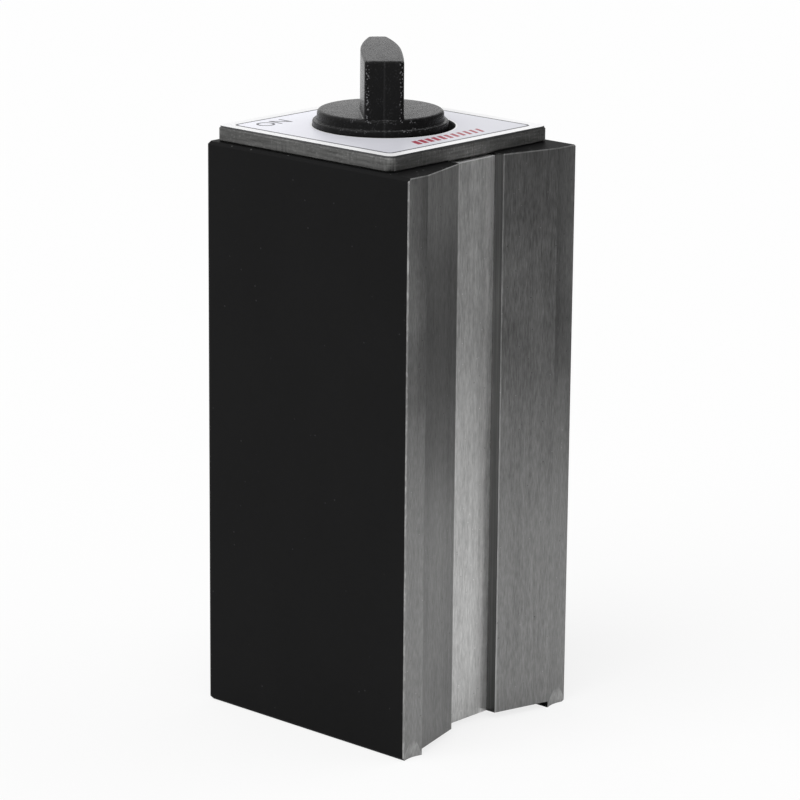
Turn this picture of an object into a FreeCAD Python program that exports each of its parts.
import FreeCAD, Part
import math
import os

# Switchable magnetic base with a V groove, standing on its rear end with the knob on top.
# Units are millimetres. +Z runs along the body to the knob and the groove faces -Y.
# The origin is the middle of the rear end, at the level of its two feet.

# Body: two steel pole blocks with non-magnetic spacers between them
body_width = 50.0
body_depth = 55.0
body_length = 118.0
paint_edge_round = 1.2
end_edge_break = 0.6
ground_edge_break = 0.25
spacer_width = 13.4
bore_radius = 16.0
bore_axis_offset = 2.9

# V groove in the working face
rail_width = 5.5
vee_flank_angle = 15.0
groove_floor_depth = 5.7
spacer_end_drop = 0.5

# Rear end: a shallow slot between two feet, with a let-in cover
rear_slot_depth = 1.3
foot_scoop_length = 3.8
foot_scoop_depth = 0.55
rear_cover_side_gap = 2.5
rear_cover_height = 38.0
rear_cover_thickness = 2.0
rear_cover_corner = 2.5
let_in_gap = 0.15

# Front cover and its label
front_cover_side_gap = 1.4
front_cover_back_gap = 1.4
front_cover_groove_gap = 6.0
front_cover_thickness = 2.9
front_cover_corner = 1.9
front_cover_edge_break = 0.3
label_inset = 0.25
label_thickness = 0.3
dial_gap = 0.75
dial_slip_aside = 0.45
dial_slip_forward = 0.5

# Low-head cap screws in counterbores, the same for both covers
screw_radius = 1.5
screw_head_radius = 2.75
screw_head_height = 1.2
screw_length = 8.0
front_screw_inset = 4.6
rear_screw_inset = 3.7
screw_fit_gap = 0.05
screw_hole_extra_depth = 1.5
screw_head_drop = 0.05

# Column thread in the back face
column_thread_core_radius = 3.4
column_thread_depth = 7.5
column_thread_mouth_break = 0.6
column_thread_height = 59.0

# Bushes and the stop pin
bush_press_gap = 0.02
journal_clearance = 0.04
front_bush_length = 6.0
front_bush_depth = 5.0
rear_bush_length = 5.0
stop_pin_radius = 1.5
stop_pin_wall = 1.8
stop_pin_tip_break = 0.3
stop_groove_gap = 0.3
stop_groove_depth = 3.0

# Rotor: four magnets between two steel segments, held by end caps
rotor_running_gap = 0.3
rotor_end_play = 0.2
rotor_cap_length = 5.0
rotor_neck_radius = 9.0
rear_journal_radius = 6.0
rear_journal_end_gap = 0.4
magnet_count = 4
magnet_thickness = 11.0
magnet_edge_break = 0.5
filler_edge = 0.7
tie_bolt_radius = 2.0
tie_bolt_wall = 3.3
tie_bolt_angle = 120.0
tie_bolt_engagement = 3.2
tie_bolt_end_gap = 0.6

# Knob turns a quarter from off to on
switch_angle = 90.0
pointer_angle = 45.6
knob_hub_radius = 9.5
knob_hub_end_gap = 0.4
knob_hex_across_flats = 12.0
knob_hex_gap = 0.05
knob_hex_end_gap = 0.3
knob_pin_radius = 1.25
knob_pin_height = 2.2
knob_pin_inset = 0.3
knob_ring_radius = 13.7
knob_ring_low = 0.4
knob_ring_high = 4.4
knob_shoulder_fall = 0.35
knob_disc_step = 0.85
knob_disc_high = 6.45
knob_rim_break = 0.7
knob_web = 2.0

# Knob blade: a tall pointer, blunt at the tail and narrowing to the tip
blade_tail_step = 0.7
blade_tip_step = 0.85
blade_tail_half_width = 3.9
blade_belly_half_width = 4.15
blade_shoulder_half_width = 3.6
blade_tip_half_width = 1.9
blade_belly_place = 6.0
blade_shoulder_place = 5.6
blade_tail_high = 18.05
blade_tip_high = 19.3
blade_corner_round = 0.8
blade_top_break = 0.5
blade_foot_sink = 0.5

# Worked-out places
half_width = body_width / 2
half_depth = body_depth / 2
half_gap = spacer_width / 2
rail_inner = half_width - rail_width
vee_depth = (rail_inner - half_gap) * math.tan(math.radians(vee_flank_angle))
bore_chord = math.sqrt(bore_radius ** 2 - half_gap ** 2)
groove_floor = -half_depth + groove_floor_depth
rotor_radius = bore_radius - rotor_running_gap
front_cover_width = body_width - 2 * front_cover_side_gap
front_cover_height = body_depth - front_cover_back_gap - front_cover_groove_gap
front_cover_offset = (front_cover_groove_gap - front_cover_back_gap) / 2
front_cover_top = body_length + front_cover_thickness
rear_cover_width = 2 * (rail_inner - rear_cover_side_gap)
rear_cover_front = rear_slot_depth + rear_cover_thickness
front_bush_top = body_length - front_bush_depth
front_bush_bottom = front_bush_top - front_bush_length
front_cap_top = front_bush_bottom - rotor_end_play
front_cap_bottom = front_cap_top - rotor_cap_length
rear_bush_top = rear_cover_front + rear_bush_length
rear_cap_bottom = rear_bush_top + rotor_end_play
rear_cap_top = rear_cap_bottom + rotor_cap_length
magnet_length = (front_cap_bottom - rear_cap_top) / magnet_count
stop_pin_circle_radius = bore_radius - stop_pin_wall - stop_pin_radius
magnet_width = 2 * (math.sqrt(rotor_radius ** 2 - magnet_thickness ** 2 / 4) - filler_edge)
tie_bolt_circle_radius = rotor_radius - tie_bolt_wall - tie_bolt_radius
dial_hole_radius = knob_ring_radius + dial_gap
knob_disc_radius = knob_ring_radius - knob_disc_step
blade_tail = knob_disc_radius - blade_tail_step
blade_tip = knob_disc_radius - blade_tip_step
knob_hub_bottom = front_bush_top + knob_hub_end_gap
knob_socket_top = body_length + knob_disc_high - knob_web
knob_pin_level = body_length - knob_pin_height

# How far a cutting tool reaches past the face it enters by
overshoot = 1.0
far = 4 * (body_width + body_depth + body_length)

UP = FreeCAD.Vector(0, 0, 1)


def at(x, y, z=0.0):
    return FreeCAD.Vector(x, y, z)


def on_axis(z):
    return at(0, bore_axis_offset, z)


def line(a, b):
    return Part.LineSegment(a, b).toShape()


def arc(a, middle, b):
    return Part.Arc(a, middle, b).toShape()


def prism(edges, height):
    face = Part.Face(Part.Wire(edges))
    return face.extrude(at(0, 0, height))


def outline(points):
    closed = points + [points[0]]
    return [line(a, b) for a, b in zip(closed, closed[1:])]


def box_between(low, high):
    size = high - low
    return Part.makeBox(size.x, size.y, size.z, low)


def rod(radius, low, high, x=0.0, y=None):
    centre_y = bore_axis_offset if y is None else y
    return Part.makeCylinder(radius, high - low, at(x, centre_y, low))


def ring(outer, inner, low, high):
    return rod(outer, low, high).cut(rod(inner, low - overshoot, high + overshoot))


def hexagon(across_flats, low, high, angle=0.0):
    corner = across_flats / math.sqrt(3)
    turns = [math.radians(60 * k) for k in range(6)]
    points = [at(corner * math.cos(t), corner * math.sin(t), low) for t in turns]
    solid = prism(outline(points), high - low)
    solid.rotate(at(0, 0), UP, angle)
    solid.translate(on_axis(0))
    return solid


def turned(points, centre=None):
    """Solid of revolution about the bore axis from points given as (radius, height)."""
    corners = [at(r, 0, z) for r, z in points]
    face = Part.Face(Part.Wire(outline(corners)))
    solid = face.revolve(at(0, 0), UP, 360)
    solid.translate(centre or on_axis(0))
    return solid


def plate(width, height, thickness, low, offset, corner):
    """Flat plate with rounded corners, its underside at low."""
    blank = Part.makeBox(width, height, thickness, at(-width / 2, offset - height / 2, low))
    return blank.makeFillet(corner, upright_edges(blank))


def edges_at(solid, test):
    """Edges whose ends and middle all pass the test."""
    chosen = []
    for edge in solid.Edges:
        middle = edge.valueAt((edge.FirstParameter + edge.LastParameter) / 2)
        points = [v.Point for v in edge.Vertexes] + [middle]
        if all(test(p) for p in points):
            chosen.append(edge)
    return chosen


def near(a, b):
    return abs(a - b) < 1e-6


def upright_edges(solid):
    return [e for e in solid.Edges if near(abs(e.tangentAt(e.FirstParameter).z), 1)]


def is_back_corner(p):
    return near(p.x, half_width) and near(p.y, half_depth)


def is_end_edge(p):
    """Outer edge of either end, along a painted side or round the back corner."""
    on_end = near(p.z, 0) or near(p.z, body_length)
    return on_end and (p.y > half_depth - paint_edge_round - 1e-6 or near(p.x, half_width)) \
        and (p.x > half_width - paint_edge_round - 1e-6 or near(p.y, half_depth))


def diagonal_places(width, height, offset, inset, slant):
    """Screw places in two opposite corners of a plate, one over each pole block."""
    across = width / 2 - inset
    along = height / 2 - inset
    return [(side * across, offset + side * slant * along) for side in (-1, 1)]


front_screw_places = diagonal_places(front_cover_width, front_cover_height,
                                     front_cover_offset, front_screw_inset, -1)
rear_screw_places = diagonal_places(rear_cover_width, rear_cover_height,
                                    bore_axis_offset, rear_screw_inset, 1)
tie_bolt_across = tie_bolt_circle_radius * math.cos(math.radians(tie_bolt_angle))
tie_bolt_along = tie_bolt_circle_radius * math.sin(math.radians(tie_bolt_angle))
tie_bolt_places = [(s * tie_bolt_across, bore_axis_offset + s * tie_bolt_along) for s in (-1, 1)]


def upright_rod(radius, a, b, place):
    """Rod between two heights, given in either order."""
    return Part.makeCylinder(radius, abs(b - a), at(place[0], place[1], min(a, b)))


def cover_screw(place, face, inward):
    """Cap screw whose head sits a hair below its cover's face."""
    top = face + inward * screw_head_drop
    head = upright_rod(screw_head_radius, top, top + inward * screw_head_height, place)
    return head.fuse(upright_rod(screw_radius, top, top + inward * screw_length, place))


def cover_screw_hole(place, face, inward):
    """Counterbored hole for a cover's screw, open past the cover's face."""
    seat = face + inward * (screw_head_drop + screw_head_height)
    floor = face + inward * (screw_length + screw_hole_extra_depth)
    head = upright_rod(screw_head_radius + screw_fit_gap, face - inward * overshoot, seat, place)
    return head.fuse(upright_rod(screw_radius + screw_fit_gap, seat, floor, place))


def cover_screws(places, face, inward):
    return Part.makeCompound([cover_screw(p, face, inward) for p in places])


def cover_screw_holes(places, face, inward):
    return [cover_screw_hole(p, face, inward) for p in places]


def front_screw_holes():
    return cover_screw_holes(front_screw_places, front_cover_top, -1)


def rear_screw_holes():
    return cover_screw_holes(rear_screw_places, rear_slot_depth, 1)


def rear_rebate():
    """Room for the let-in rear cover, as deep as the cover."""
    return plate(rear_cover_width + 2 * let_in_gap, rear_cover_height + 2 * let_in_gap,
                 rear_cover_front + overshoot, -overshoot, bore_axis_offset, rear_cover_corner)


def rear_slot():
    """Shallow slot across the rear end, which leaves a foot along each side."""
    return box_between(at(-rail_inner, -half_depth - overshoot, -overshoot),
                       at(rail_inner, half_depth + overshoot, rear_slot_depth))


def foot_scoop():
    """Shallow relief at the rear end of a rail, cut by a round tool tilted into the face."""
    half_rail = rail_width / 2
    tool = (half_rail ** 2 + foot_scoop_depth ** 2) / (2 * foot_scoop_depth)
    tilt = math.degrees(math.atan2(foot_scoop_depth, foot_scoop_length))
    scoop = Part.makeCylinder(tool, 4 * foot_scoop_length, at(0, 0, -2 * foot_scoop_length))
    scoop.translate(at(0, -tool, 0))
    scoop.rotate(at(0, 0), at(1, 0, 0), tilt)
    scoop.translate(at(half_width - half_rail, -half_depth, foot_scoop_length))
    return scoop


def pole_block(side):
    """Steel half of the body. It carries one rail and one flank of the V groove."""
    low = bore_axis_offset - bore_chord
    high = bore_axis_offset + bore_chord
    edges = [
        line(at(half_width, half_depth), at(half_width, -half_depth)),
        line(at(half_width, -half_depth), at(rail_inner, -half_depth)),
        line(at(rail_inner, -half_depth), at(half_gap, -half_depth + vee_depth)),
        line(at(half_gap, -half_depth + vee_depth), at(half_gap, low)),
        arc(at(half_gap, low), at(bore_radius, bore_axis_offset), at(half_gap, high)),
        line(at(half_gap, high), at(half_gap, half_depth)),
        line(at(half_gap, half_depth), at(half_width, half_depth)),
    ]
    block = prism(edges, body_length)
    block = block.makeFillet(paint_edge_round, edges_at(block, is_back_corner))
    block = block.makeChamfer(end_edge_break, edges_at(block, is_end_edge))
    ground = edges_at(block, lambda p: near(p.x, half_width) and near(p.y, -half_depth))
    block = block.makeChamfer(ground_edge_break, ground)
    block = block.cut([rear_slot(), rear_rebate(), foot_scoop()])
    if side < 0:
        block = block.mirror(at(0, 0), at(1, 0, 0))
    return block.cut(front_screw_holes() + rear_screw_holes())


def groove_spacer():
    """Bright strip along the bottom of the V groove."""
    high = bore_axis_offset - bore_chord
    crown = bore_axis_offset - bore_radius
    edges = [
        line(at(-half_gap, high), at(-half_gap, groove_floor)),
        line(at(-half_gap, groove_floor), at(half_gap, groove_floor)),
        line(at(half_gap, groove_floor), at(half_gap, high)),
        arc(at(half_gap, high), at(0, crown), at(-half_gap, high)),
    ]
    strip = prism(edges, body_length - spacer_end_drop)
    return strip.cut([rear_slot(), rear_rebate()])


def column_thread_hole():
    """Blind core hole for the column's screw, opening in the back face."""
    outward = at(0, 1, 0)
    core = column_thread_core_radius
    lip = column_thread_mouth_break
    floor = at(0, half_depth - column_thread_depth, column_thread_height)
    mouth = at(0, half_depth - lip, column_thread_height)
    hole = Part.makeCylinder(core, column_thread_depth + overshoot, floor, outward)
    flare = Part.makeCone(core, core + 2 * lip, 2 * lip, mouth, outward)
    return hole.fuse(flare)


def back_spacer():
    """Strip that joins the pole blocks along the back, with the thread for the column."""
    low = bore_axis_offset + bore_chord
    crown = bore_axis_offset + bore_radius
    edges = [
        line(at(half_gap, low), at(half_gap, half_depth)),
        line(at(half_gap, half_depth), at(-half_gap, half_depth)),
        line(at(-half_gap, half_depth), at(-half_gap, low)),
        arc(at(-half_gap, low), at(0, crown), at(half_gap, low)),
    ]
    strip = prism(edges, body_length)
    strip = strip.makeChamfer(end_edge_break, edges_at(strip, is_end_edge))
    return strip.cut([rear_slot(), rear_rebate(), column_thread_hole()])


def dial_hole():
    """Round hole for the knob through the cover and its label, a little off the rotor's axis."""
    return rod(dial_hole_radius, body_length - overshoot,
               front_cover_top + label_thickness + overshoot,
               dial_slip_aside, bore_axis_offset - dial_slip_forward)


def front_cover():
    """Steel cover that keeps the rotor in, with the knob's round hole."""
    blank = plate(front_cover_width, front_cover_height, front_cover_thickness,
                  body_length, front_cover_offset, front_cover_corner)
    level = [e for e in blank.Edges if near(e.Vertexes[0].Z, e.Vertexes[-1].Z)]
    blank = blank.makeChamfer(front_cover_edge_break, level)
    return blank.cut([dial_hole()] + front_screw_holes())


def label_plate():
    """Thin printed plate that covers the screws."""
    sheet = plate(front_cover_width - 2 * label_inset, front_cover_height - 2 * label_inset,
                  label_thickness, front_cover_top, front_cover_offset,
                  front_cover_corner - label_inset)
    return sheet.cut(dial_hole())


def rear_cover():
    blank = plate(rear_cover_width, rear_cover_height, rear_cover_thickness,
                  rear_slot_depth, bore_axis_offset, rear_cover_corner - let_in_gap)
    return blank.cut(rear_screw_holes())


def front_bush():
    """Ring pressed into the mouth of the bore. It guides the rotor and holds the stop pin."""
    bush = ring(bore_radius - bush_press_gap, rotor_neck_radius + journal_clearance,
                front_bush_bottom, front_bush_top)
    seat = rod(stop_pin_radius, front_bush_bottom - overshoot, front_bush_top + overshoot,
               y=bore_axis_offset + stop_pin_circle_radius)
    return bush.cut(seat)


def rear_bush():
    return ring(bore_radius - bush_press_gap, rear_journal_radius + journal_clearance,
                rear_cover_front, rear_bush_top)


def stop_pin():
    """Hardened pin that runs in the rotor's quarter-turn groove, with a broken tip."""
    low = front_cap_top - stop_groove_depth + stop_groove_gap
    tip = stop_pin_radius - stop_pin_tip_break
    points = [(0, low), (tip, low), (stop_pin_radius, low + stop_pin_tip_break),
              (stop_pin_radius, front_bush_top), (0, front_bush_top)]
    return turned(points, at(0, bore_axis_offset + stop_pin_circle_radius))


def stop_groove():
    """Quarter-turn groove for the stop pin, with round ends, in the front cap's face."""
    reach = stop_pin_radius + stop_groove_gap
    floor = front_cap_top - stop_groove_depth
    inner = stop_pin_circle_radius - reach
    outer = stop_pin_circle_radius + reach
    height = stop_groove_depth + overshoot
    corners = [at(inner, 0, floor), at(outer, 0, floor), at(outer, 0, floor + height),
               at(inner, 0, floor + height)]
    sweep = Part.Face(Part.Wire(outline(corners))).revolve(at(0, 0), UP, switch_angle)
    sweep.rotate(at(0, 0), UP, 90 - switch_angle)
    pieces = [sweep]
    for degrees in (90 - switch_angle, 90):
        turn = math.radians(degrees)
        centre = at(stop_pin_circle_radius * math.cos(turn),
                    stop_pin_circle_radius * math.sin(turn), floor)
        pieces.append(Part.makeCylinder(reach, height, centre))
    groove = pieces[0].fuse(pieces[1:])
    groove.translate(on_axis(0))
    return groove


def knob_pin_bar(radius, reach):
    """Bar across the knob's hub, square to the blade."""
    across = math.radians(pointer_angle + 90)
    direction = at(math.cos(across), math.sin(across), 0)
    start = on_axis(knob_pin_level) - direction * reach
    return Part.makeCylinder(radius, 2 * reach, start, direction)


def tie_bolt_rods(radius, reach):
    """Rods through the rotor's steel segments, into both caps by the reach."""
    low = rear_cap_top - reach
    high = front_cap_bottom + reach
    return [rod(radius, low, high, x, y) for x, y in tie_bolt_places]


def tie_bolt_holes():
    return tie_bolt_rods(tie_bolt_radius + screw_fit_gap, tie_bolt_engagement + tie_bolt_end_gap)


def front_rotor_cap():
    """Front end of the rotor, with its neck, the six-sided drive for the knob and the groove."""
    cap = rod(rotor_radius, front_cap_bottom, front_cap_top)
    neck = rod(rotor_neck_radius, front_cap_top, front_bush_top + knob_hub_end_gap / 2)
    drive = hexagon(knob_hex_across_flats, front_cap_top, knob_socket_top - knob_hex_end_gap,
                    pointer_angle)
    solid = cap.fuse([neck, drive])
    cuts = [stop_groove(), knob_pin_bar(knob_pin_radius, knob_hub_radius)]
    return solid.cut(cuts + tie_bolt_holes()).removeSplitter()


def rear_rotor_cap():
    """Rear end of the rotor, with its journal."""
    cap = rod(rotor_radius, rear_cap_bottom, rear_cap_top)
    journal = rod(rear_journal_radius, rear_cover_front + rear_journal_end_gap, rear_cap_bottom)
    return cap.fuse(journal).cut(tie_bolt_holes()).removeSplitter()


def rotor_pole(side):
    """D-shaped steel segment on one side of the magnets."""
    low = magnet_thickness / 2
    half_chord = math.sqrt(rotor_radius ** 2 - low ** 2)
    edges = [
        line(at(-half_chord, low, rear_cap_top), at(half_chord, low, rear_cap_top)),
        arc(at(half_chord, low, rear_cap_top), at(0, rotor_radius, rear_cap_top),
            at(-half_chord, low, rear_cap_top)),
    ]
    segment = prism(edges, front_cap_bottom - rear_cap_top)
    if side < 0:
        segment.rotate(at(0, 0), UP, 180)
    segment.translate(on_axis(0))
    return segment.cut(tie_bolt_holes())


def magnet_block(index):
    """One ferrite block of the row, with broken long edges."""
    low = rear_cap_top + index * magnet_length
    block = Part.makeBox(magnet_width, magnet_thickness, magnet_length,
                         at(-magnet_width / 2, bore_axis_offset - magnet_thickness / 2, low))
    return block.makeChamfer(magnet_edge_break, upright_edges(block))


def rotor_filler(side):
    """Cast strip that fills the round beside the magnets' narrow faces."""
    half = magnet_thickness / 2
    reach = math.sqrt(rotor_radius ** 2 - half ** 2)
    inner = magnet_width / 2
    edges = [
        line(at(inner, half, rear_cap_top), at(inner, -half, rear_cap_top)),
        line(at(inner, -half, rear_cap_top), at(reach, -half, rear_cap_top)),
        arc(at(reach, -half, rear_cap_top), at(rotor_radius, 0, rear_cap_top),
            at(reach, half, rear_cap_top)),
        line(at(reach, half, rear_cap_top), at(inner, half, rear_cap_top)),
    ]
    strip = prism(edges, front_cap_bottom - rear_cap_top)
    if side < 0:
        strip.rotate(at(0, 0), UP, 180)
    strip.translate(on_axis(0))
    return strip


def rotor_tie_bolts():
    """Headless studs that hold both caps on the segments."""
    return Part.makeCompound(tie_bolt_rods(tie_bolt_radius, tie_bolt_engagement))


def knob_pin():
    return knob_pin_bar(knob_pin_radius, knob_hub_radius - knob_pin_inset)


def blade_side(hand, level):
    """One side of the blade in plan: a nearly flat arc to the middle, then the nose's arc."""
    tail = at(-blade_tail, hand * blade_tail_half_width, level)
    belly = at(-blade_belly_place, hand * blade_belly_half_width, level)
    middle = at(0, hand * blade_belly_half_width, level)
    shoulder = at(blade_shoulder_place, hand * blade_shoulder_half_width, level)
    tip = at(blade_tip, hand * blade_tip_half_width, level)
    return [arc(tail, belly, middle), arc(middle, shoulder, tip)]


def blade_outline(level):
    """Plan of the blade, pointing along +X."""
    right = blade_side(-1, level)
    left = blade_side(1, level)
    nose = line(at(blade_tip, -blade_tip_half_width, level),
                at(blade_tip, blade_tip_half_width, level))
    back = line(at(-blade_tail, blade_tail_half_width, level),
                at(-blade_tail, -blade_tail_half_width, level))
    return right + [nose] + left[::-1] + [back]


def is_blade_corner(p):
    at_nose = near(p.x, blade_tip) and near(abs(p.y), blade_tip_half_width)
    at_back = near(p.x, -blade_tail) and near(abs(p.y), blade_tail_half_width)
    return at_nose or at_back


def knob_blade():
    """Moulded pointer: blunt tail, narrowing nose, rising top and broken edges."""
    low = body_length + knob_disc_high - blade_foot_sink
    blade = prism(blade_outline(low), far)
    blade = blade.makeFillet(blade_corner_round, edges_at(blade, is_blade_corner))
    rise = blade_tip_high - blade_tail_high
    slope = math.degrees(math.atan2(rise, blade_tip + blade_tail))
    lid = Part.makeBox(far, far, 2 * far, at(-far / 2, -far / 2, 0))
    lid.rotate(at(0, 0), at(0, 1, 0), -slope)
    middle = blade_tail_high + rise * blade_tail / (blade_tip + blade_tail)
    lid.translate(at(0, 0, body_length + middle))
    blade = blade.cut(lid)
    top_edges = edges_at(blade, lambda p: p.z > low + blade_foot_sink)
    blade = blade.makeChamfer(blade_top_break, top_edges)
    blade.rotate(at(0, 0), UP, pointer_angle)
    blade.translate(on_axis(0))
    return blade


def knob():
    """Moulded knob: a hub on the drive, a ring in the cover's hole, a disc and the blade."""
    base = body_length
    ring_top = base + knob_ring_high
    disc_top = base + knob_disc_high
    points = [
        (0, knob_hub_bottom),
        (knob_hub_radius, knob_hub_bottom),
        (knob_hub_radius, base + knob_ring_low),
        (knob_ring_radius, base + knob_ring_low),
        (knob_ring_radius, ring_top - knob_shoulder_fall),
        (knob_disc_radius, ring_top),
        (knob_disc_radius, disc_top - knob_rim_break),
        (knob_disc_radius - knob_rim_break, disc_top),
        (0, disc_top),
    ]
    body = turned(points).fuse(knob_blade()).removeSplitter()
    socket = hexagon(knob_hex_across_flats + 2 * knob_hex_gap, knob_hub_bottom - overshoot,
                     knob_socket_top, pointer_angle)
    return body.cut([socket, knob_pin_bar(knob_pin_radius, knob_ring_radius)])


def all_parts():
    """Every sub-part by its node's name."""
    parts = {
        "left_pole_block": pole_block(-1),
        "right_pole_block": pole_block(1),
        "groove_spacer": groove_spacer(),
        "back_spacer": back_spacer(),
        "front_cover": front_cover(),
        "label_plate": label_plate(),
        "front_cover_screws": cover_screws(front_screw_places, front_cover_top, -1),
        "rear_cover": rear_cover(),
        "rear_cover_screws": cover_screws(rear_screw_places, rear_slot_depth, 1),
        "front_bush": front_bush(),
        "rear_bush": rear_bush(),
        "stop_pin": stop_pin(),
        "front_rotor_cap": front_rotor_cap(),
        "rear_rotor_cap": rear_rotor_cap(),
        "rotor_pole_back": rotor_pole(1),
        "rotor_pole_front": rotor_pole(-1),
        "rotor_filler_right": rotor_filler(1),
        "rotor_filler_left": rotor_filler(-1),
        "rotor_tie_bolts": rotor_tie_bolts(),
        "knob": knob(),
        "knob_pin": knob_pin(),
    }
    for index in range(magnet_count):
        parts["magnet_block_%d" % (index + 1)] = magnet_block(index)
    return parts


def main():
    os.makedirs("parts", exist_ok=True)
    for name, shape in all_parts().items():
        shape.exportStep("parts/%s.step" % name)
        box = shape.BoundBox
        print("%-20s solids %d valid %s volume %9.1f x %6.1f %6.1f y %6.1f %6.1f z %6.1f %6.1f" % (
            name, len(shape.Solids), shape.isValid(), shape.Volume,
            box.XMin, box.XMax, box.YMin, box.YMax, box.ZMin, box.ZMax))


main()
